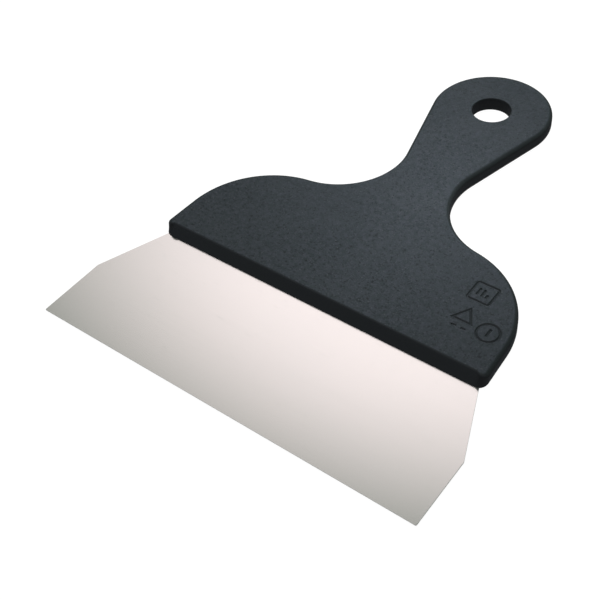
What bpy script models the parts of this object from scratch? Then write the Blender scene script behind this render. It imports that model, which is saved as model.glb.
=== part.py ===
"""Bench scraper: a thin stainless blade moulded into a flat one-piece plastic handle.

Metres, +Z up. The tool lies flat on its back, with the working edge towards -Y and the
hanging hole towards +Y. The origin is on the plane it lies on, under the middle of the tool.
"""
import math

import bmesh
import bpy

MM = 0.001

# Driving dimensions in millimetres. Distances along the tool start at the working edge.
TOOL_LENGTH = 260.0
GAP = 0.3  # clearance between the moulded handle and the steel

BLADE_WIDTH = 200.0
BLADE_THICKNESS = 0.7
BLADE_BOTTOM = 0.9  # height of the blade's underside above the handle's underside
BLADE_LAND = 34.5  # length of the parallel part behind the working edge
BLADE_WIDTH_AT_HANDLE = 173.0
TIP_RADIUS = 0.8
TAPER_CORNER_RADIUS = 1.5

TANG_DEPTH = 24.0
TANG_CORNER_RADIUS = 4.0
ANCHOR_COUNT = 7
ANCHOR_PITCH = 22.0
ANCHOR_RADIUS = 4.5
ANCHOR_DEPTH = 13.0  # from the handle's front to the row of anchor holes

HANDLE_FRONT = 68.5
HANDLE_THICKNESS = 7.5
FRONT_SETBACK = 3.8  # how far the front face leans back at the top
FRONT_EDGE_RADIUS = 1.3
CORNER_RADIUS = 5.0
SIDE_ANGLE = math.radians(3.2)  # the sides draw in towards the shoulder
SHOULDER_RADIUS = 46.3
SHOULDER_CENTRE = (41.0, 87.9)
NECK_RADIUS = 35.0
FLANK_ANGLE = math.radians(14.6)  # the grip widens by this angle towards the head
HEAD_RADIUS = 31.3
TOP_EDGE_RADIUS = 2.4
BOTTOM_EDGE_RADIUS = 1.5

HOLE_RADIUS = 10.1
HOLE_CHAMFER = 0.5

# Worked out from the dimensions above.
HEAD_CENTRE = (0.0, TOOL_LENGTH - HEAD_RADIUS)
BLADE_TOP = BLADE_BOTTOM + BLADE_THICKNESS
BLADE_TAPER = (BLADE_WIDTH - BLADE_WIDTH_AT_HANDLE) / 2 / (HANDLE_FRONT - BLADE_LAND)
FRONT_LEAN = math.atan2(FRONT_SETBACK, HANDLE_THICKNESS - BLADE_TOP)
ANCHOR_ROW = HANDLE_FRONT + ANCHOR_DEPTH
ANCHORS = [(ANCHOR_PITCH * (i - (ANCHOR_COUNT - 1) / 2), ANCHOR_ROW) for i in range(ANCHOR_COUNT)]


def clear_scene():
    for obj in list(bpy.data.objects):
        bpy.data.objects.remove(obj, do_unlink=True)


def plain_material(name, colour, roughness, metallic):
    material = bpy.data.materials.new(name)
    material.use_nodes = True
    shader = material.node_tree.nodes["Principled BSDF"]
    shader.inputs["Base Color"].default_value = (*colour, 1.0)
    shader.inputs["Roughness"].default_value = roughness
    shader.inputs["Metallic"].default_value = metallic
    return material


def object_from(name, mesh_data, material=None):
    """Turn a bmesh in millimetres into a named object placed in the tool's frame."""
    bmesh.ops.recalc_face_normals(mesh_data, faces=mesh_data.faces)
    bmesh.ops.scale(mesh_data, vec=(MM, MM, MM), verts=mesh_data.verts)
    mesh = bpy.data.meshes.new(name)
    mesh_data.to_mesh(mesh)
    mesh_data.free()
    mesh.shade_smooth()
    mesh.set_sharp_from_angle(angle=math.radians(32))
    obj = bpy.data.objects.new(name, mesh)
    obj.location = (0.0, -TOOL_LENGTH / 2 * MM, 0.0)
    bpy.context.scene.collection.objects.link(obj)
    if material:
        mesh.materials.append(material)
    return obj


def stack(rings):
    """Join rings of points, lowest first, into one closed body with flat ends."""
    body = bmesh.new()
    loops = [[body.verts.new(point) for point in ring] for ring in rings]
    count = len(loops[0])
    for lower, upper in zip(loops, loops[1:]):
        for i in range(count):
            j = (i + 1) % count
            body.faces.new((lower[i], lower[j], upper[j], upper[i]))
    body.faces.new(reversed(loops[0]))
    body.faces.new(loops[-1])
    return body


def prism(outline, low, high):
    return stack([[(x, y, z) for x, y in outline] for z in (low, high)])


def turned(centre, profile, steps=48):
    """A solid of revolution about a vertical axis. The profile is (radius, height), upwards."""
    turns = [2 * math.pi * i / steps for i in range(steps)]
    return stack([
        [(centre[0] + r * math.cos(a), centre[1] + r * math.sin(a), z) for a in turns]
        for r, z in profile
    ])


def as_cutter(obj):
    obj.hide_render = True
    obj.display_type = "WIRE"
    return obj


def cut(target, cutter):
    modifier = target.modifiers.new("cut_" + cutter.name, "BOOLEAN")
    modifier.operation = "DIFFERENCE"
    modifier.solver = "EXACT"
    modifier.object = as_cutter(cutter)


def arc(centre, radius, start, end, steps):
    """Points with their outward direction, from angle start to angle end."""
    points = []
    for i in range(steps + 1):
        angle = start + (end - start) * i / steps
        direction = (math.cos(angle), math.sin(angle))
        points.append((centre[0] + radius * direction[0], centre[1] + radius * direction[1], *direction))
    return points


def rounded(corners, steps=6):
    """A closed outline from (x, y, radius) corners given anticlockwise."""
    outline = []
    for i, (x, y, radius) in enumerate(corners):
        before, after = corners[i - 1], corners[(i + 1) % len(corners)]
        into = math.atan2(y - before[1], x - before[0])
        out = math.atan2(after[1] - y, after[0] - x)
        turn = (out - into + math.pi) % (2 * math.pi) - math.pi
        reach = radius * math.tan(turn / 2)
        start = (x - reach * math.cos(into), y - reach * math.sin(into))
        centre = (start[0] - radius * math.sin(into), start[1] + radius * math.cos(into))
        for px, py, _, _ in arc(centre, radius, into - math.pi / 2, into - math.pi / 2 + turn, steps):
            outline.append((px, py))
    return outline


def blade_half_width(y):
    """Half the blade's width on its tapering part, at a distance from the working edge."""
    return BLADE_WIDTH / 2 - BLADE_TAPER * (y - BLADE_LAND)


def mirrored_corners(right):
    return right + [(-x, y, radius) for x, y, radius in reversed(right)]


def make_blade(material):
    """Spring stainless sheet with a perforated tang, hidden in the handle."""
    tang_end = HANDLE_FRONT + TANG_DEPTH
    outline = rounded(mirrored_corners([
        (BLADE_WIDTH / 2, 0.0, TIP_RADIUS),
        (BLADE_WIDTH / 2, BLADE_LAND, TAPER_CORNER_RADIUS),
        (blade_half_width(tang_end), tang_end, TANG_CORNER_RADIUS),
    ]))
    blade = object_from("blade", prism(outline, BLADE_BOTTOM, BLADE_TOP), material)
    for i, centre in enumerate(ANCHORS):
        punch = turned(centre, [(ANCHOR_RADIUS, BLADE_BOTTOM - 1), (ANCHOR_RADIUS, BLADE_TOP + 1)], 24)
        cut(blade, object_from(f"anchor_punch_{i + 1}", punch))
    return blade


def neck_centre():
    """Centre of the concave neck arc, which touches the flank line and the shoulder circle."""
    normal = (math.cos(FLANK_ANGLE), -math.sin(FLANK_ANGLE))
    along = (-math.sin(FLANK_ANGLE), -math.cos(FLANK_ANGLE))
    offset = normal[1] * HEAD_CENTRE[1] + HEAD_RADIUS + NECK_RADIUS
    base = (offset * normal[0], offset * normal[1])
    to_base = (base[0] - SHOULDER_CENTRE[0], base[1] - SHOULDER_CENTRE[1])
    b = to_base[0] * along[0] + to_base[1] * along[1]
    c = to_base[0] ** 2 + to_base[1] ** 2 - (NECK_RADIUS + SHOULDER_RADIUS) ** 2
    distance = -b - math.sqrt(b * b - c)
    return (base[0] + distance * along[0], base[1] + distance * along[1])


def handle_half():
    """Right half of the handle's outline as (x, y, normal x, normal y, front share)."""
    side = (math.cos(SIDE_ANGLE), math.sin(SIDE_ANGLE))
    shoulder_start = (SHOULDER_CENTRE[0] + SHOULDER_RADIUS * side[0],
                      SHOULDER_CENTRE[1] + SHOULDER_RADIUS * side[1])
    corner_y = HANDLE_FRONT + CORNER_RADIUS
    side_offset = shoulder_start[0] * side[0] + shoulder_start[1] * side[1]
    corner_x = (side_offset - CORNER_RADIUS - side[1] * corner_y) / side[0]
    neck = neck_centre()
    to_neck = math.atan2(neck[1] - SHOULDER_CENTRE[1], neck[0] - SHOULDER_CENTRE[0])
    corner = arc((corner_x, corner_y), CORNER_RADIUS, -math.pi / 2, SIDE_ANGLE, 8)
    shoulder = arc(SHOULDER_CENTRE, SHOULDER_RADIUS, SIDE_ANGLE, to_neck, 16)
    hollow = arc(neck, NECK_RADIUS, to_neck - math.pi, -math.pi - FLANK_ANGLE, 10)
    hollow = [(x, y, -nx, -ny) for x, y, nx, ny in hollow[1:]]
    head = arc(HEAD_CENTRE, HEAD_RADIUS, -FLANK_ANGLE, math.pi / 2, 20)
    half = []
    for i, point in enumerate(corner):
        turn = i / (len(corner) - 1)
        half.append((*point, 1 - turn * turn * (3 - 2 * turn)))
    half += [(*point, 0.0) for point in shoulder + hollow + head]
    return half


def handle_outline():
    right = handle_half()
    left = [(-x, y, -nx, ny, front) for x, y, nx, ny, front in reversed(right[:-1])]
    return right + left


def edge_profile(front_share):
    """(inset, height) pairs up the handle's edge: rounded foot, wall and rounded top edge."""
    lean = FRONT_LEAN * front_share
    radius = TOP_EDGE_RADIUS + (FRONT_EDGE_RADIUS - TOP_EDGE_RADIUS) * front_share
    profile = []
    for i in range(4):
        angle = math.pi / 2 * i / 3
        foot = BOTTOM_EDGE_RADIUS
        profile.append((foot * (1 - math.sin(angle)), foot * (1 - math.cos(angle))))
    profile.append((0.0, BLADE_TOP))
    setback = math.tan(lean) * (HANDLE_THICKNESS - BLADE_TOP)
    turn = math.pi / 2 - lean
    middle = (setback + radius * math.tan(turn / 2), HANDLE_THICKNESS - radius)
    for i in range(4):
        angle = lean + turn * i / 3
        profile.append((middle[0] - radius * math.cos(angle), middle[1] + radius * math.sin(angle)))
    return profile


def handle_blank():
    columns = []
    for x, y, nx, ny, front_share in handle_outline():
        columns.append([(x - inset * nx, y - inset * ny, z) for inset, z in edge_profile(front_share)])
    return stack([list(ring) for ring in zip(*columns)])


def slot_cutter():
    """The room the handle leaves for the tang, with the moulded plugs still standing in it."""
    mouth = HANDLE_FRONT - 2 * CORNER_RADIUS
    slot_end = HANDLE_FRONT + TANG_DEPTH + GAP
    sideways = GAP * math.hypot(1.0, BLADE_TAPER)
    outline = rounded(mirrored_corners([
        (blade_half_width(mouth) + sideways, mouth, TIP_RADIUS),
        (blade_half_width(slot_end) + sideways, slot_end, TANG_CORNER_RADIUS),
    ]))
    slot = object_from("tang_slot", prism(outline, BLADE_BOTTOM - GAP, BLADE_TOP + GAP))
    radius = ANCHOR_RADIUS - GAP
    for i, centre in enumerate(ANCHORS):
        plug = turned(centre, [(radius, BLADE_BOTTOM - 1), (radius, BLADE_TOP + 1)], 24)
        cut(slot, object_from(f"plug_core_{i + 1}", plug))
    return slot


def hole_cutter():
    flare = 2 * HOLE_CHAMFER
    profile = [
        (HOLE_RADIUS + flare, -HOLE_CHAMFER),
        (HOLE_RADIUS, HOLE_CHAMFER),
        (HOLE_RADIUS, HANDLE_THICKNESS - HOLE_CHAMFER),
        (HOLE_RADIUS + flare, HANDLE_THICKNESS + HOLE_CHAMFER),
    ]
    return object_from("hanging_hole", turned(HEAD_CENTRE, profile))


def make_handle(material):
    """One polypropylene moulding, closed round the tang and through its anchor holes."""
    handle = object_from("handle", handle_blank(), material)
    cut(handle, hole_cutter())
    cut(handle, slot_cutter())
    return handle


clear_scene()
make_blade(plain_material("stainless_steel", (0.60, 0.59, 0.575), 0.32, 1.0))
make_handle(plain_material("black_polypropylene", (0.040, 0.045, 0.050), 0.55, 0.0))
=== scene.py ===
import math

import bmesh
import bpy
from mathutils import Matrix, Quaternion, Vector
from mathutils.geometry import delaunay_2d_cdt


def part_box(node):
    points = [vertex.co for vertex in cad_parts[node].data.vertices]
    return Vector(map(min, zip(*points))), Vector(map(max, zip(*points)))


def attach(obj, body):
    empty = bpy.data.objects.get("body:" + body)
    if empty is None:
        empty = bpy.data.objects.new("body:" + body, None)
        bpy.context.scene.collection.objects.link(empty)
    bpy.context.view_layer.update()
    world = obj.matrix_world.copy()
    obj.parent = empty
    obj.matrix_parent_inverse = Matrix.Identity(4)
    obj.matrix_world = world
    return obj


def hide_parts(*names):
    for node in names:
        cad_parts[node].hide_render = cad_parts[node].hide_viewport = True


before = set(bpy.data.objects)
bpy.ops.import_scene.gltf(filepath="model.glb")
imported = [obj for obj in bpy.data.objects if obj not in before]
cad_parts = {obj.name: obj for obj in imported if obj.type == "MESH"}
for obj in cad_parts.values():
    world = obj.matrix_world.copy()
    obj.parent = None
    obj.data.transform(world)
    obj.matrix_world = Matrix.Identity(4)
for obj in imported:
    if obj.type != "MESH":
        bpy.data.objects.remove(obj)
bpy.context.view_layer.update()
MM = 0.001

# ---------------------------------------------------------------------------------------------
# Blade. A flat blank of 0.7 mm spring stainless sheet, blanked with its grain across the tool,
# deburred all round and ground to a bevel under the working edge. The last 24 mm of it, with a row
# of punched anchor holes, is buried in the handle.
# ---------------------------------------------------------------------------------------------
blade_low, blade_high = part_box("blade")
handle_low, handle_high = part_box("handle")
working_edge = blade_low.y
handle_front = handle_low.y
blade_half = blade_high.x
blade_bottom, blade_top = blade_low.z, blade_high.z

PARALLEL_PART = 34.5 * MM  # behind the working edge, before the sides taper
BLADE_HALF_AT_HANDLE = 86.5 * MM
TIP_RADIUS = 0.8 * MM
TAPER_CORNER_RADIUS = 1.5 * MM
TANG_CORNER_RADIUS = 4.0 * MM
GROUND_WIDTH = 1.30 * MM  # the bevel under the working edge, seen from below
GROUND_DEPTH = 0.52 * MM
DEBURRING = 0.04 * MM  # taken off every other edge of the sheet
ANCHOR_COUNT = 7
ANCHOR_PITCH = 22.0 * MM
ANCHOR_RADIUS = 4.5 * MM
ANCHOR_ROW = handle_front + 13.0 * MM
ANCHOR_STEPS = 32
CORNER_STEPS = 8
SHEET_EDGE_PITCH = 4.0 * MM  # between points along the sheet's straight edges
SHEET_FACE_PITCH = 5.0 * MM  # between points over its flat faces

blade_taper = (blade_half - BLADE_HALF_AT_HANDLE) / (handle_front - working_edge - PARALLEL_PART)
middle_anchor = (ANCHOR_COUNT - 1) / 2
anchors = [Vector((ANCHOR_PITCH * (i - middle_anchor), ANCHOR_ROW)) for i in range(ANCHOR_COUNT)]


def arc(centre, radius, start, end, steps):
    """Points (x, y, outward x, outward y) along an arc."""
    points = []
    for i in range(steps + 1):
        angle = start + (end - start) * i / steps
        nx, ny = math.cos(angle), math.sin(angle)
        points.append((centre[0] + radius * nx, centre[1] + radius * ny, nx, ny))
    return points


def ring_of(centre, radius, steps):
    """The points of a full circle, without the first one again at the end."""
    return arc(centre, radius, 0, 2 * math.pi, steps)[:-1]


def rounded(corners, steps):
    """A closed outline with its outward directions, from (x, y, radius) corners anticlockwise."""
    outline = []
    for i, (x, y, radius) in enumerate(corners):
        before, after = corners[i - 1], corners[(i + 1) % len(corners)]
        into = math.atan2(y - before[1], x - before[0])
        out = math.atan2(after[1] - y, after[0] - x)
        turn = (out - into + math.pi) % (2 * math.pi) - math.pi
        reach = radius * math.tan(turn / 2)
        centre = (x - reach * math.cos(into) - radius * math.sin(into),
                  y - reach * math.sin(into) + radius * math.cos(into))
        outline += arc(centre, radius, into - math.pi / 2, into - math.pi / 2 + turn, steps)
    return outline


def evenly(outline, pitch):
    """The same outline with points added along its straight stretches, about a pitch apart."""
    filled = []
    for here, there in zip(outline, outline[1:] + outline[:1]):
        start, end = Vector(here), Vector(there)
        count = max(1, round((end.xy - start.xy).length / pitch))
        filled += [tuple(start.lerp(end, i / count)) for i in range(count)]
    return filled


def both_sides(right):
    """Corners on the right side, then their mirror images back down the left."""
    return right + [(-x, y, radius) for x, y, radius in reversed(right)]


def blade_side(y):
    """Half the blade's width at a place behind its parallel part."""
    return blade_half - blade_taper * (y - working_edge - PARALLEL_PART)


def sheet_edge():
    """The blank's edge as columns of points, lowest first: deburred, and ground at the front."""
    outline = rounded(both_sides([
        (blade_half, working_edge, TIP_RADIUS),
        (blade_half, working_edge + PARALLEL_PART, TAPER_CORNER_RADIUS),
        (blade_side(blade_high.y), blade_high.y, TANG_CORNER_RADIUS),
    ]), CORNER_STEPS)
    columns = []
    for x, y, nx, ny in evenly(outline, SHEET_EDGE_PITCH):
        ground = max(0.0, -ny) ** 4 if y < working_edge + TIP_RADIUS else 0.0
        reach = DEBURRING + (GROUND_WIDTH - DEBURRING) * ground
        depth = DEBURRING + (GROUND_DEPTH - DEBURRING) * ground
        columns.append([
            (x - reach * nx, y - reach * ny, blade_bottom),
            (x, y, blade_bottom + depth),
            (x, y, blade_top - DEBURRING),
            (x - DEBURRING * nx, y - DEBURRING * ny, blade_top),
        ])
    return columns


def wall(body, columns):
    """Join columns of points round an outline into a wall, and return its rings of vertices."""
    rings = [[body.verts.new(point) for point in ring] for ring in zip(*columns)]
    for lower, upper in zip(rings, rings[1:]):
        for i in range(len(lower)):
            j = (i + 1) % len(lower)
            body.faces.new((lower[i], lower[j], upper[j], upper[i]))
    return rings


def within(spot, border):
    """True if a line from the spot towards +X crosses the border an odd number of times."""
    inside = False
    for a, b in zip(border, border[1:] + border[:1]):
        if (a.y > spot.y) != (b.y > spot.y):
            if spot.x < a.x + (spot.y - a.y) / (b.y - a.y) * (b.x - a.x):
                inside = not inside
    return inside


def off_holes(spot, holes):
    return all((spot - centre).length > radius for centre, radius in holes)


def inner_spots(border, rim_spots, holes, pitch):
    """Rows of evenly spaced spots inside a border, kept clear of its rim and off its holes.
    Each comes with its distance from the rim."""
    low = Vector((min(spot.x for spot in border), min(spot.y for spot in border)))
    high = Vector((max(spot.x for spot in border), max(spot.y for spot in border)))
    row_height = pitch * math.sqrt(0.75)
    clearance = 0.6 * pitch
    inner = []
    for row in range(1, int((high.y - low.y) / row_height)):
        stagger = 0.75 if row % 2 else 0.25
        for column in range(int((high.x - low.x) / pitch)):
            spot = low + Vector((pitch * (column + stagger), row * row_height))
            if within(spot, border):
                depth = min((spot - rim_spot).length for rim_spot in rim_spots)
                if depth > clearance and off_holes(spot, holes):
                    inner.append((spot, depth))
    return inner


def face_over(body, loops, holes, pitch, height):
    """Close a flat face between loops of vertices with even triangles, leaving round holes open.
    Returns the vertices added inside it, each with its distance from the nearest edge."""
    rim = [vert for loop in loops for vert in loop]
    rim_spots = [vert.co.xy for vert in rim]
    edges = []
    for loop in loops:
        start = len(edges)
        edges += [(start + i, start + (i + 1) % len(loop)) for i in range(len(loop))]
    inner = inner_spots(rim_spots[:len(loops[0])], rim_spots, holes, pitch)
    spots = rim_spots + [spot for spot, _ in inner]
    inside_only, merge_distance = 1, 1e-7
    flat, _, faces, origins, _, _ = delaunay_2d_cdt(spots, edges, [], inside_only, merge_distance)
    verts = []
    added = []
    for spot, origin in zip(flat, origins):
        if origin[0] < len(rim):
            verts.append(rim[origin[0]])
        else:
            verts.append(body.verts.new((spot.x, spot.y, height)))
            added.append((verts[-1], inner[origin[0] - len(rim)][1]))
    for face in faces:
        middle = sum((flat[i] for i in face), Vector((0, 0))) / 3
        if off_holes(middle, holes):
            body.faces.new([verts[i] for i in face])
    return added


def bore(body, low_ring, high_ring):
    """The wall of a hole between its rings of vertices on the two faces."""
    for i in range(len(low_ring)):
        j = (i + 1) % len(low_ring)
        body.faces.new((low_ring[i], high_ring[i], high_ring[j], low_ring[j]))


def piece_from(name, body, sharp_degrees):
    """An object made from a body, shaded smooth except across edges sharper than an angle."""
    bmesh.ops.recalc_face_normals(body, faces=body.faces)
    mesh = bpy.data.meshes.new(name)
    body.to_mesh(mesh)
    body.free()
    mesh.shade_smooth()
    mesh.set_sharp_from_angle(angle=math.radians(sharp_degrees))
    piece = bpy.data.objects.new(name, mesh)
    bpy.context.scene.collection.objects.link(piece)
    return piece


def punched_sheet():
    body = bmesh.new()
    rings = wall(body, sheet_edge())
    punched = {}
    for ring, height in ((rings[0], blade_bottom), (rings[-1], blade_top)):
        circles = []
        for centre in anchors:
            circle = ring_of(centre, ANCHOR_RADIUS, ANCHOR_STEPS)
            circles.append([body.verts.new((x, y, height)) for x, y, _, _ in circle])
        holes = [(centre, ANCHOR_RADIUS) for centre in anchors]
        face_over(body, [ring, *circles], holes, SHEET_FACE_PITCH, height)
        punched[height] = circles
    for low_ring, high_ring in zip(punched[blade_bottom], punched[blade_top]):
        bore(body, low_ring, high_ring)
    return piece_from("stainless_blade", body, sharp_degrees=12)


def add(tree, kind, **inputs):
    """A shader node with values or links given by the names of its inputs."""
    node = tree.nodes.new(kind)
    for name, value in inputs.items():
        socket = node.inputs[name.replace("_", " ")]
        if isinstance(value, bpy.types.NodeSocket):
            tree.links.new(value, socket)
        else:
            socket.default_value = value
    return node


def noise(tree, place, stretch, detail=3.0, roughness=0.5):
    """Noise whose grains measure about 1 / stretch metres along each axis."""
    scaled = add(tree, "ShaderNodeMapping", Vector=place, Scale=stretch)
    return add(tree, "ShaderNodeTexNoise", Vector=scaled.outputs[0], Scale=1.0,
               Detail=detail, Roughness=roughness).outputs["Fac"]


def spread(tree, value, low, high, start=0.3, end=0.7):
    """Map start to end, by default the middle of a noise's range, onto low to high."""
    node = add(tree, "ShaderNodeMapRange", Value=value, From_Min=start, From_Max=end,
               To_Min=low, To_Max=high)
    return node.outputs[0]


def together(tree, first, second):
    """Two values added up."""
    node = add(tree, "ShaderNodeMath", Value=first)
    tree.links.new(second, node.inputs[1])
    return node.outputs[0]


def blend(tree, share, first, second):
    """The first colour where the share is 0, the second where it is 1."""
    node = tree.nodes.new("ShaderNodeMix")
    node.data_type = "RGBA"
    for name, value in (("Factor_Float", share), ("A_Color", first), ("B_Color", second)):
        socket = next(s for s in node.inputs if s.identifier == name)
        if isinstance(value, bpy.types.NodeSocket):
            tree.links.new(value, socket)
        else:
            socket.default_value = value
    return next(s for s in node.outputs if s.identifier == "Result_Color")


def levelness(tree):
    """1 on faces that lie level, down to 0 on upright ones."""
    facing = tree.nodes.new("ShaderNodeNewGeometry").outputs["Normal"]
    upward = add(tree, "ShaderNodeSeparateXYZ", Vector=facing).outputs["Z"]
    level = add(tree, "ShaderNodeMath", Value=upward)
    level.operation = "ABSOLUTE"
    return level.outputs[0]


def rolled_stainless():
    """Cold-rolled sheet: a fine grain across the tool, soft clouds of polish, light handling marks, and
    the dull grey of the sheared edge."""
    material = bpy.data.materials.new("rolled_stainless")
    material.use_nodes = True
    tree = material.node_tree
    steel = tree.nodes["Principled BSDF"]
    place = tree.nodes.new("ShaderNodeTexCoord").outputs["Object"]
    fine_grain = noise(tree, place, (60, 9000, 9000))
    coarse_grain = noise(tree, place, (12, 2400, 2400), 4.0)
    clouds = noise(tree, place, (14, 22, 22), 2.0)
    scuffs = noise(tree, place, (150, 700, 700), 5.0, 0.62)

    darker, paler = (0.665, 0.632, 0.613, 1), (0.677, 0.645, 0.628, 1)
    grain_line = (0.640, 0.610, 0.592, 1)
    tint = blend(tree, spread(tree, clouds, 0.0, 1.0), darker, paler)
    grained = blend(tree, spread(tree, coarse_grain, 0.0, 0.12), tint, grain_line)
    tree.links.new(grained, steel.inputs["Base Color"])
    sheared = spread(tree, levelness(tree), 1.0, 0.0, 0.3, 0.7)
    tree.links.new(spread(tree, sheared, 1.0, 0.3, 0.0, 1.0), steel.inputs["Metallic"])

    polish = spread(tree, coarse_grain, 0.14, 0.16)
    cloudy = together(tree, spread(tree, clouds, -0.01, 0.01), polish)
    marked = together(tree, spread(tree, scuffs, 0.0, 0.05, 0.60, 0.72), cloudy)
    dulled = together(tree, spread(tree, sheared, 0.0, 0.35, 0.0, 1.0), marked)
    tree.links.new(dulled, steel.inputs["Roughness"])

    relief = add(tree, "ShaderNodeBump", Strength=0.2, Distance=0.0012 * MM, Height=fine_grain)
    ripple = add(tree, "ShaderNodeBump", Strength=0.2, Distance=0.0008 * MM, Height=coarse_grain,
                 Normal=relief.outputs[0])
    tree.links.new(ripple.outputs[0], steel.inputs["Normal"])
    return material


blade = punched_sheet()
blade.data.materials.append(rolled_stainless())
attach(blade, "root")
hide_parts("blade")

# ---------------------------------------------------------------------------------------------
# Handle. One solid polypropylene moulding, closed round the blade's tang and through its anchor
# holes. The mould is spark-finished, its two halves meet level with the blade, and inserts in
# the upper half leave three shallow marks in the right shoulder.
# ---------------------------------------------------------------------------------------------
plastic_top = handle_high.z
CORNER_RADIUS = 5.0 * MM
FRONT_SETBACK = 3.8 * MM  # how far the front face leans back at the top
FRONT_EDGE_RADIUS = 1.3 * MM
TOP_EDGE_RADIUS = 2.4 * MM
FOOT_RADIUS = 1.5 * MM
SIDE_ANGLE = math.radians(3.2)  # the sides draw in towards the shoulder
SHOULDER_RADIUS = 46.3 * MM
SHOULDER_CENTRE = (41.0 * MM, working_edge + 87.9 * MM)
NECK_RADIUS = 35.0 * MM
FLANK_ANGLE = math.radians(14.6)  # the grip widens by this angle towards the head
HEAD_RADIUS = 31.3 * MM
HEAD_CENTRE = Vector((0.0, handle_high.y - HEAD_RADIUS))
HOLE_RADIUS = 10.1 * MM
HOLE_EDGE_RADIUS = 0.5 * MM
WITNESS_DEPTH = 0.05 * MM  # of the line where the mould's halves meet
WITNESS_HEIGHT = 0.1 * MM
SINK = 0.12 * MM  # how far the thick flats sink as they cool
SINK_REACH = 14.0 * MM
FIT = 0.04 * MM  # between the plastic and the steel, so that their faces never touch
HANDLE_EDGE_PITCH = 2.0 * MM  # between points along straight edges and over flat faces
HANDLE_FACE_PITCH = 3.0 * MM
SLOT_FACE_PITCH = 9.0 * MM
SLOT_OVERRUN = 4.0 * MM  # the slot's cutter starts this far in front of the handle
SHARP_DEGREES = 35  # edges at least this sharp are left crisp

front_lean = math.atan2(FRONT_SETBACK, plastic_top - blade_top)


def neck_centre():
    """Centre of the hollow of the neck, which touches the grip's flank and the shoulder."""
    normal = Vector((math.cos(FLANK_ANGLE), -math.sin(FLANK_ANGLE)))
    along = Vector((-math.sin(FLANK_ANGLE), -math.cos(FLANK_ANGLE)))
    flank = HEAD_CENTRE + (HEAD_RADIUS + NECK_RADIUS) * normal
    to_flank = flank - Vector(SHOULDER_CENTRE)
    b = to_flank.dot(along)
    c = to_flank.length_squared - (NECK_RADIUS + SHOULDER_RADIUS) ** 2
    return flank + (-b - math.sqrt(b * b - c)) * along


def straight(start, end, normal, pitch):
    """Points evenly spaced along a straight stretch, without its ends."""
    count = round((Vector(end) - Vector(start)).length / pitch)
    return [(*Vector(start).lerp(Vector(end), i / count), *normal) for i in range(1, count)]


def eased(share):
    """A share from 0 to 1 that starts and ends gently."""
    return share * share * (3 - 2 * share)


def right_half():
    """The right half of the outline: (x, y, outward x, outward y, share of the leaning front)."""
    side = Vector((math.cos(SIDE_ANGLE), math.sin(SIDE_ANGLE)))
    shoulder_start = Vector(SHOULDER_CENTRE) + SHOULDER_RADIUS * side
    corner_y = handle_front + CORNER_RADIUS
    corner_x = (shoulder_start.dot(side) - CORNER_RADIUS - side.y * corner_y) / side.x
    corner = arc((corner_x, corner_y), CORNER_RADIUS, -math.pi / 2, SIDE_ANGLE, steps=16)
    neck = neck_centre()
    to_neck = math.atan2(neck.y - SHOULDER_CENTRE[1], neck.x - SHOULDER_CENTRE[0])
    shoulder = arc(SHOULDER_CENTRE, SHOULDER_RADIUS, SIDE_ANGLE, to_neck, steps=44)
    neck_arc = arc(neck, NECK_RADIUS, to_neck - math.pi, -math.pi - FLANK_ANGLE, steps=26)
    hollow = [(x, y, -nx, -ny) for x, y, nx, ny in neck_arc]
    head = arc(HEAD_CENTRE, HEAD_RADIUS, -FLANK_ANGLE, math.pi / 2, steps=40)
    front = straight((0.0, handle_front), corner[0][:2], (0.0, -1.0), HANDLE_EDGE_PITCH)
    half = [(0.0, handle_front, 0.0, -1.0, 1.0)]
    half += [(*point, 1.0) for point in front]
    for i, point in enumerate(corner):
        turn = i / (len(corner) - 1)
        half.append((*point, 1 - eased(turn)))
    side_run = straight(corner[-1][:2], shoulder[0][:2], side, HANDLE_EDGE_PITCH)
    flank_run = straight(hollow[-1][:2], head[0][:2], head[0][2:], HANDLE_EDGE_PITCH)
    half += [(*point, 0.0) for point in side_run + shoulder + hollow[1:] + flank_run + head]
    return half


def rounded_rim(radius, steps):
    """(inset, height) of a quarter round, from the flat face up into the wall."""
    rim = []
    for i in range(steps + 1):
        angle = math.pi / 2 * i / steps
        rim.append((radius * (1 - math.sin(angle)), radius * (1 - math.cos(angle))))
    return rim


def edge_section(front):
    """(inset, height) up the moulding's edge: foot, witness line, wall and rounded top edge."""
    lean = front_lean * front
    radius = TOP_EDGE_RADIUS + (FRONT_EDGE_RADIUS - TOP_EDGE_RADIUS) * front
    section = rounded_rim(FOOT_RADIUS, steps=6)
    section += [(WITNESS_DEPTH, blade_top), (0.0, blade_top + WITNESS_HEIGHT)]
    turn = math.pi / 2 - lean
    setback = math.tan(lean) * (plastic_top - blade_top)
    middle = (setback + radius * math.tan(turn / 2), plastic_top - radius)
    wall_top = middle[1] + radius * math.sin(lean)
    wall_steps, round_steps = 4, 9
    for i in range(1, wall_steps):
        height = blade_top + (wall_top - blade_top) * i / wall_steps
        section.append((math.tan(lean) * (height - blade_top), height))
    for i in range(round_steps + 1):
        angle = lean + turn * i / round_steps
        section.append((middle[0] - radius * math.cos(angle), middle[1] + radius * math.sin(angle)))
    return section


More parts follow.
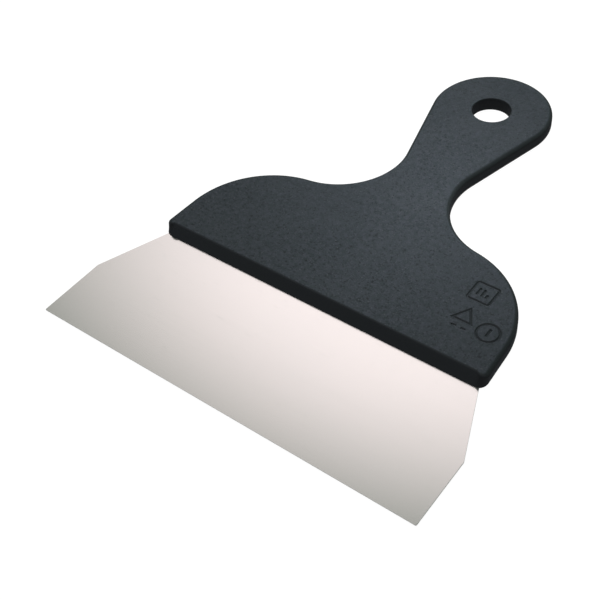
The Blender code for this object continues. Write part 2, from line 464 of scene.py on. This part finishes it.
def blank_moulding():
    """The solid moulding with its hanging hole, before the tang's slot and the marks."""
    right = right_half()
    outline = right + [(-x, y, -nx, ny, front) for x, y, nx, ny, front in reversed(right[1:-1])]
    columns = []
    for x, y, nx, ny, front in outline:
        columns.append([(x - inset * nx, y - inset * ny, z) for inset, z in edge_section(front)])
    body = bmesh.new()
    rings = wall(body, columns)

    flare = rounded_rim(HOLE_EDGE_RADIUS, steps=5)
    barrel = flare + [(0.0, plastic_top * i / 4) for i in range(1, 4)]
    barrel += [(out, plastic_top - up) for out, up in reversed(flare)]
    hole = []
    for x, y, nx, ny in ring_of(HEAD_CENTRE, HOLE_RADIUS, steps=96):
        hole.append([(x + out * nx, y + out * ny, z) for out, z in barrel])
    hole_rings = wall(body, hole)

    opening = [(HEAD_CENTRE, HOLE_RADIUS + HOLE_EDGE_RADIUS)]
    for side, height, sunk in ((0, 0.0, 1), (-1, plastic_top, -1)):
        flat = face_over(body, [rings[side], hole_rings[side]], opening, HANDLE_FACE_PITCH, height)
        for vert, depth in flat:
            vert.co.z += sunk * SINK * eased(min(1.0, depth / SINK_REACH))
    return piece_from("moulded_handle", body, SHARP_DEGREES)


def cut_away(target, tool):
    """Cut a tool's shape out of a piece for good, and put the tool away."""
    modifier = target.modifiers.new("cut", "BOOLEAN")
    modifier.operation = "DIFFERENCE"
    modifier.solver = "EXACT"
    modifier.object = tool
    bpy.context.view_layer.update()
    cut = target.evaluated_get(bpy.context.evaluated_depsgraph_get())
    shaped = bpy.data.meshes.new_from_object(cut)
    target.modifiers.remove(modifier)
    target.data = shaped
    shaped.shade_smooth()
    shaped.set_sharp_from_angle(angle=math.radians(SHARP_DEGREES))
    bpy.data.objects.remove(tool, do_unlink=True)


def tang_slot():
    """The room the tang takes in the moulding, less the plugs through its anchor holes."""
    mouth = handle_front - SLOT_OVERRUN
    slot_end = blade_high.y + FIT
    corners = both_sides([
        (blade_side(mouth) + FIT, mouth, TIP_RADIUS),
        (blade_side(slot_end) + FIT, slot_end, TANG_CORNER_RADIUS),
    ])
    low, high = blade_bottom - FIT, blade_top + FIT
    body = bmesh.new()

    def upright(outline):
        return wall(body, [[(x, y, low), (x, y, high)] for x, y, _, _ in outline])

    rings = upright(rounded(corners, CORNER_STEPS))
    plug_radius = ANCHOR_RADIUS - FIT
    plugs = [upright(ring_of(centre, plug_radius, ANCHOR_STEPS)) for centre in anchors]
    holes = [(centre, plug_radius) for centre in anchors]
    for side, height in ((0, low), (-1, high)):
        loops = [rings[side], *[plug[side] for plug in plugs]]
        face_over(body, loops, holes, SLOT_FACE_PITCH, height)
    return piece_from("tang_slot", body, SHARP_DEGREES)


MARK_WIDTH = 1.35 * MM
MARK_DEPTH = 0.48 * MM
MARKED_LEVEL = plastic_top - 0.85 * SINK  # of the sunk flat round the marks
# Across and up the cutter's section, as shares of a mark's width and depth: a V with a narrow floor.
V_SECTION = ((0.5, 1.2), (0.5, 0.0), (0.06, -1.0), (-0.06, -1.0), (-0.5, 0.0), (-0.5, 1.2))

# The marks' places and sizes in mm, with Y counted from the working edge.
FRAME_MIDDLE = (63.2, 111.9)
FRAME_HALF = 5.4
FRAME_CORNER = 1.0
TALLY_PITCH = 2.3
TALLY_LENGTHS = (4.4, 4.4, 2.2)
TRIANGLE = ((58.8, 93.1), (68.0, 93.1), (63.4, 100.8))
BAR_STARTS = ((60.6, 89.2), (65.2, 89.2))
BAR_LENGTH = 2.4
DIAL_MIDDLE = (76.5, 92.8)
DIAL_RADIUS = 5.1
DIAL_STROKE = ((76.6, 90.5), (76.6, 95.3))


def groove(body, path, closed):
    """A V-shaped groove cutter along a path of (x, y) points on the top face."""
    section = [(MARK_WIDTH * across, MARK_DEPTH * up) for across, up in V_SECTION]
    rings = []
    for i, spot in enumerate(path):
        spot = Vector(spot)
        before = Vector(path[i - 1]) if closed or i else None
        after = Vector(path[(i + 1) % len(path)]) if closed or i < len(path) - 1 else None
        runs = [(spot - before).normalized()] if before else []
        runs += [(after - spot).normalized()] if after else []
        sides = [Vector((run.y, -run.x)) for run in runs]
        mitre = (sides[0] + sides[-1]) / (1 + sides[0].dot(sides[-1]))
        ring = [(*(spot + mitre * across), MARKED_LEVEL + up) for across, up in section]
        rings.append([body.verts.new(point) for point in ring])
    for first, second in zip(rings, rings[1:] + ([rings[0]] if closed else [])):
        for i in range(len(first)):
            j = (i + 1) % len(first)
            body.faces.new((first[i], first[j], second[j], second[i]))
    if not closed:
        body.faces.new(reversed(rings[0]))
        body.faces.new(rings[-1])


def insert_marks():
    """Plain marks left by the mould's inserts: a framed tally, a triangle over two bars, a ring dial."""
    def place(spot):
        return (spot[0] * MM, working_edge + spot[1] * MM)

    body = bmesh.new()
    frame_x, frame_y = FRAME_MIDDLE
    corners = []
    for side, end in ((-1, -1), (1, -1), (1, 1), (-1, 1)):
        corner = place((frame_x + side * FRAME_HALF, frame_y + end * FRAME_HALF))
        corners.append((*corner, FRAME_CORNER * MM))
    groove(body, [point[:2] for point in rounded(corners, steps=5)], closed=True)
    foot = frame_y - max(TALLY_LENGTHS) / 2
    for i, length in enumerate(TALLY_LENGTHS):
        x = frame_x + TALLY_PITCH * (i - 1)
        groove(body, [place((x, foot)), place((x, foot + length))], closed=False)

    groove(body, [place(corner) for corner in TRIANGLE], closed=True)
    for x, y in BAR_STARTS:
        groove(body, [place((x, y)), place((x + BAR_LENGTH, y))], closed=False)

    dial = ring_of(place(DIAL_MIDDLE), DIAL_RADIUS * MM, steps=60)
    groove(body, [point[:2] for point in dial], closed=True)
    groove(body, [place(end) for end in DIAL_STROKE], closed=False)
    return piece_from("insert_marks", body, SHARP_DEGREES)


def spark_finished_plastic():
    """Charcoal polypropylene: a pale spark-eroded grain on the flats; the edges, walls and mark grooves
    are smooth, and painted shade makes them darker the further they turn from level.
    """
    material = bpy.data.materials.new("spark_finished_plastic")
    material.use_nodes = True
    tree = material.node_tree
    plastic = tree.nodes["Principled BSDF"]
    place = tree.nodes.new("ShaderNodeTexCoord").outputs["Object"]
    spark_grain = noise(tree, place, (2300, 2300, 2300), 4.0, 0.6)
    pits = noise(tree, place, (900, 900, 900), 2.0)
    flow = noise(tree, place, (38, 60, 60), 4.0, 0.6)
    mottle = noise(tree, place, (420, 420, 420), 3.0, 0.65)
    specks = noise(tree, place, (1500, 1500, 1500), 1.0)

    charcoal, pale_charcoal = (0.0124, 0.0160, 0.0186, 1), (0.0162, 0.0200, 0.0228, 1)
    # The darkest of these colours is painted shade for the pits.
    slate, ash, pit_shade = (0.027, 0.029, 0.037, 1), (0.042, 0.045, 0.049, 1), (0.005, 0.006, 0.007, 1)
    shade = blend(tree, spread(tree, flow, 0.0, 1.0), charcoal, pale_charcoal)
    mottled = blend(tree, spread(tree, mottle, 0.0, 0.6, 0.38, 0.68), shade, slate)
    speckled = blend(tree, spread(tree, specks, 0.0, 0.6, 0.60, 0.72), mottled, ash)
    # Painted shade: the low spots of the pits' bump are darkened towards near black.
    pit_shaded = blend(tree, spread(tree, pits, 0.75, 0.0, 0.30, 0.44), speckled, pit_shade)

    # Painted shade: faces darken as they turn from level, so the walls, the rounded edges and the marks'
    # grooves come out dark. Their lower roughness is the real smooth finish.
    smooth_and_shaded = spread(tree, levelness(tree), 1.0, 0.0, 0.90, 0.994)
    painted_shade_charcoal = (0.0108, 0.0124, 0.0136, 1)
    tree.links.new(blend(tree, smooth_and_shaded, pit_shaded, painted_shade_charcoal), plastic.inputs["Base Color"])
    tree.links.new(spread(tree, smooth_and_shaded, 0.54, 0.44, 0.0, 1.0), plastic.inputs["Roughness"])
    plastic.inputs["Specular IOR Level"].default_value = 0.27

    coarse = add(tree, "ShaderNodeBump", Strength=0.35, Distance=0.05 * MM, Height=pits)
    fine = add(tree, "ShaderNodeBump", Strength=0.5, Distance=0.03 * MM, Height=spark_grain,
               Normal=coarse.outputs[0])
    tree.links.new(fine.outputs[0], plastic.inputs["Normal"])
    return material


handle = blank_moulding()
cut_away(handle, tang_slot())
cut_away(handle, insert_marks())
handle.data.materials.append(spark_finished_plastic())
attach(handle, "root")
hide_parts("handle")

# ---------------------------------------------------------------------------------------------
# Studio. The tool lies on an opal acrylic table lit from below, in a dim room. The steel mirrors a wide
# feathered softbox behind the tool, and two hooded lamps and a bounce card light the plastic.
# ---------------------------------------------------------------------------------------------
TABLE_HALF = 4.0
TABLE_WHITE = 0.06  # share of the lamps' light that the acrylic returns
TABLE_GLOW = 0.98  # its own light from below
HOODED_LAMP_SIZE = 0.05
BOUNCE_CARD_SIZE = 0.4
SOFTBOX_BEARING = math.radians(-33.1)  # from straight behind the tool; negative is to its left
SOFTBOX_CLIMB = math.radians(45.75)
SOFTBOX_TILT = math.radians(-19.15)  # turned about the line from the tool to its middle
SOFTBOX_REACH = (0.546, 0.297, 1.0)  # half its width and height out to the feather's end, at 1 m
SOFTBOX_FEATHER_START = 0.194  # share of that reach that is evenly bright
SOFTBOX_WHITE = (1.535, 1.460, 1.476, 1)
DIM_BEHIND = (0.105, 0.180, 0.135, 1)
DIM_IN_FRONT = (0.185, 0.205, 0.225, 1)
OVERHEAD_IN_FRONT = (0.52, 0.53, 0.55, 1)
BELOW_TABLE = (0.10, 0.10, 0.11, 1)


def opal_table():
    """The table lights the tool but isn't mirrored in it."""
    body = bmesh.new()
    bmesh.ops.create_grid(body, x_segments=1, y_segments=1, size=TABLE_HALF)
    table = piece_from("opal_table", body, SHARP_DEGREES)
    material = bpy.data.materials.new("opal_acrylic")
    material.use_nodes = True
    opal = material.node_tree.nodes["Principled BSDF"]
    opal.inputs["Base Color"].default_value = (TABLE_WHITE, TABLE_WHITE, TABLE_WHITE, 1)
    opal.inputs["Roughness"].default_value = 0.8
    opal.inputs["Specular IOR Level"].default_value = 0.0
    opal.inputs["Emission Color"].default_value = (1.0, 1.0, 1.0, 1)
    opal.inputs["Emission Strength"].default_value = TABLE_GLOW
    table.data.materials.append(material)
    table.visible_glossy = False
    return table


def stand_light(light, place, aim):
    """Stand a light at a place, aimed at a spot, out of sight of the camera and of reflections."""
    lamp = bpy.data.objects.new(light.name, light)
    lamp.location = place
    lamp.rotation_mode = "QUATERNION"
    lamp.rotation_quaternion = (Vector(aim) - Vector(place)).to_track_quat("-Z", "Y")
    lamp.visible_camera = False
    lamp.visible_glossy = False
    bpy.context.scene.collection.objects.link(lamp)


def hooded_lamp(name, watts, cone_degrees, edge_softness, place, aim):
    lamp = bpy.data.lights.new(name, "SPOT")
    lamp.energy = watts
    lamp.spot_size = math.radians(cone_degrees)
    lamp.spot_blend = edge_softness
    lamp.shadow_soft_size = HOODED_LAMP_SIZE
    stand_light(lamp, place, aim)


def bounce_card(watts, place, aim):
    card = bpy.data.lights.new("bounce_card", "AREA")
    card.shape = "DISK"
    card.size = BOUNCE_CARD_SIZE
    card.energy = watts
    stand_light(card, place, aim)


def studio_room():
    """The softbox in a dim room that is paler overhead in front of the tool."""
    world = bpy.data.worlds.new("studio_room")
    world.use_nodes = True
    tree = world.node_tree
    way = tree.nodes.new("ShaderNodeTexCoord").outputs["Generated"]
    level = math.cos(SOFTBOX_CLIMB)
    to_box = Vector((math.sin(SOFTBOX_BEARING) * level, math.cos(SOFTBOX_BEARING) * level,
                     math.sin(SOFTBOX_CLIMB)))
    box_turn = to_box.to_track_quat("Z", "Y") @ Quaternion((0.0, 0.0, 1.0), SOFTBOX_TILT)
    across_box = add(tree, "ShaderNodeMapping", Vector=way, Location=to_box,
                     Rotation=box_turn.to_euler(), Scale=SOFTBOX_REACH)
    across_box.vector_type = "TEXTURE"
    from_middle = tree.nodes.new("ShaderNodeVectorMath")
    from_middle.operation = "LENGTH"
    tree.links.new(across_box.outputs[0], from_middle.inputs[0])
    feather = add(tree, "ShaderNodeMapRange", Value=from_middle.outputs["Value"],
                  From_Min=SOFTBOX_FEATHER_START, From_Max=1.0, To_Min=1.0, To_Max=0.0)
    feather.interpolation_type = "SMOOTHSTEP"

    direction = add(tree, "ShaderNodeSeparateXYZ", Vector=way)
    behind = spread(tree, direction.outputs["Y"], 0.0, 1.0, -0.30, 0.30)
    overhead = spread(tree, direction.outputs["Z"], 0.0, 1.0, 0.20, 0.85)
    above_table = spread(tree, direction.outputs["Z"], 0.0, 1.0, -0.02, 0.02)
    in_front = blend(tree, overhead, DIM_IN_FRONT, OVERHEAD_IN_FRONT)
    dim = blend(tree, behind, in_front, DIM_BEHIND)
    lit = blend(tree, feather.outputs[0], dim, SOFTBOX_WHITE)
    room = blend(tree, above_table, BELOW_TABLE, lit)
    tree.links.new(room, tree.nodes["Background"].inputs["Color"])
    bpy.context.scene.world = world


opal_table()
bounce_card(watts=23.0, place=(-0.45, 0.28, 1.42), aim=(0.0, 0.0, 0.0))
hooded_lamp("shoulder_lamp", watts=72.0, cone_degrees=6.6, edge_softness=0.60,
            place=(-0.25, 0.62, 0.75), aim=(0.014, 0.026, 0.0))
hooded_lamp("grip_lamp", watts=75.5, cone_degrees=15.6, edge_softness=0.40,
            place=(-0.05, 0.95, 1.25), aim=(0.0, 0.165, 0.0))
studio_room()
bpy.context.scene.view_settings.view_transform = "Standard"

# ---------------------------------------------------------------------------------------------
# Camera. It looks down across the blade from the front right, turned a little about its own axis.
# ---------------------------------------------------------------------------------------------
CAMERA_PLACE = Vector((0.21151, -0.30967, 0.34763))
CAMERA_AIM = Vector((-0.00563, -0.06127, 0.0016))
CAMERA_ROLL = math.radians(-5.817)

lens = bpy.data.cameras.new("camera")
lens.sensor_width = 36.0
lens.lens = 63.74
lens.clip_start = 0.01
camera = bpy.data.objects.new("camera", lens)
camera.location = CAMERA_PLACE
camera.rotation_mode = "QUATERNION"
looking = (CAMERA_AIM - CAMERA_PLACE).to_track_quat("-Z", "Y")
camera.rotation_quaternion = looking @ Quaternion((0.0, 0.0, 1.0), CAMERA_ROLL)
bpy.context.scene.collection.objects.link(camera)
bpy.context.scene.camera = camera
